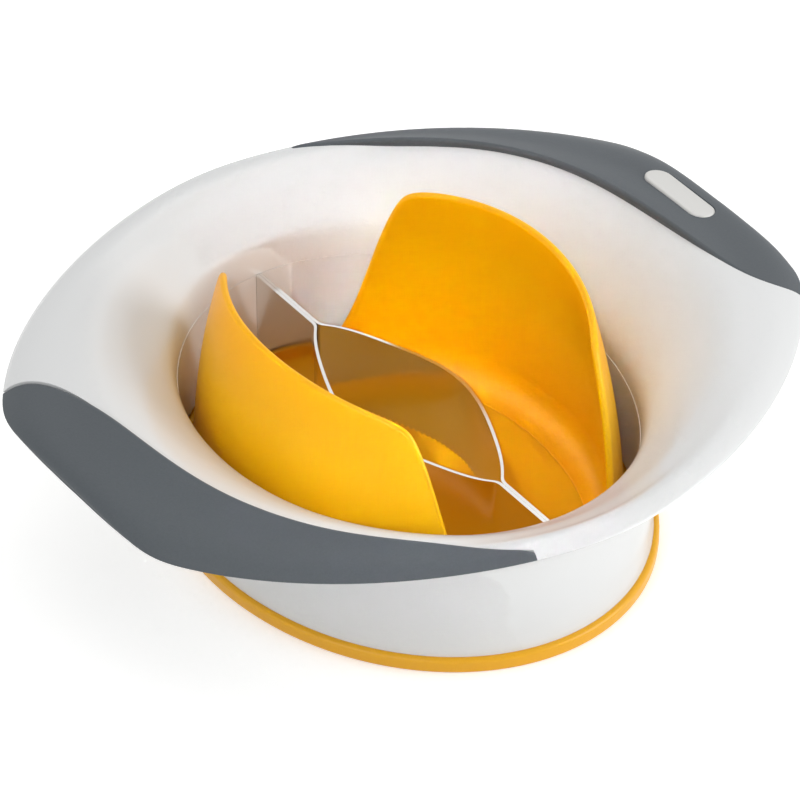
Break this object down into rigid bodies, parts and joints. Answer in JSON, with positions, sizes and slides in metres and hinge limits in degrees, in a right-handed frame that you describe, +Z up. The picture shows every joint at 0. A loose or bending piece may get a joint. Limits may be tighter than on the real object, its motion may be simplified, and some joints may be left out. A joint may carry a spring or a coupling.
{
  "type": "mango splitter",
  "caption": "Oval bowl-shaped mango splitter with soft side grips, a lens-shaped twin-strip blade, curved flexible fruit guides and a lift-off base cover.",
  "frame": {"origin": "on the resting surface under the middle of the base cover", "axes": "+Z up, X from grip to grip with the badge on the +X grip, Y along the blade"},
  "size_m": [0.1812, 0.164, 0.06],
  "materials": {
    "white_bowl": "moulded white ABS, smooth and glossy",
    "yellow_base": "moulded yellow polypropylene, satin",
    "yellow_guide": "flexible moulded amber polypropylene, smooth",
    "blade_steel": "polished stainless strip with a serrated edge",
    "soft_grip": "soft-touch thermoplastic elastomer, fine matte grain",
    "badge": "satin light grey plate, bare"
  },
  "bodies": {
    "base": {"base_cover": "yellow_base"},
    "bowl": {"bowl_body": "white_bowl", "blade_sleeve": "white_bowl", "blade_strip_right": "blade_steel", "blade_strip_left": "blade_steel", "grip_right": "soft_grip", "grip_left": "soft_grip", "badge_plate": "badge"},
    "guide_right": {"fruit_guide_right": "yellow_guide"},
    "guide_left": {"fruit_guide_left": "yellow_guide"}
  },
  "joints": [
    {"name": "base_lift_off", "type": "slide", "parent": "base", "child": "bowl", "axis": [0, 0, 1], "range_m": [0, 0.08]},
    {"name": "guide_right_flex", "type": "hinge", "parent": "base", "child": "guide_right", "pos_m": [0.0454, 0, 0.0023], "axis": [0, 1, 0], "range_deg": [0, 6], "stiffness_Nm_per_rad": 1},
    {"name": "guide_left_flex", "type": "hinge", "parent": "base", "child": "guide_left", "pos_m": [-0.0454, 0, 0.0023], "axis": [0, -1, 0], "range_deg": [0, 6], "stiffness_Nm_per_rad": 1}
  ]
}
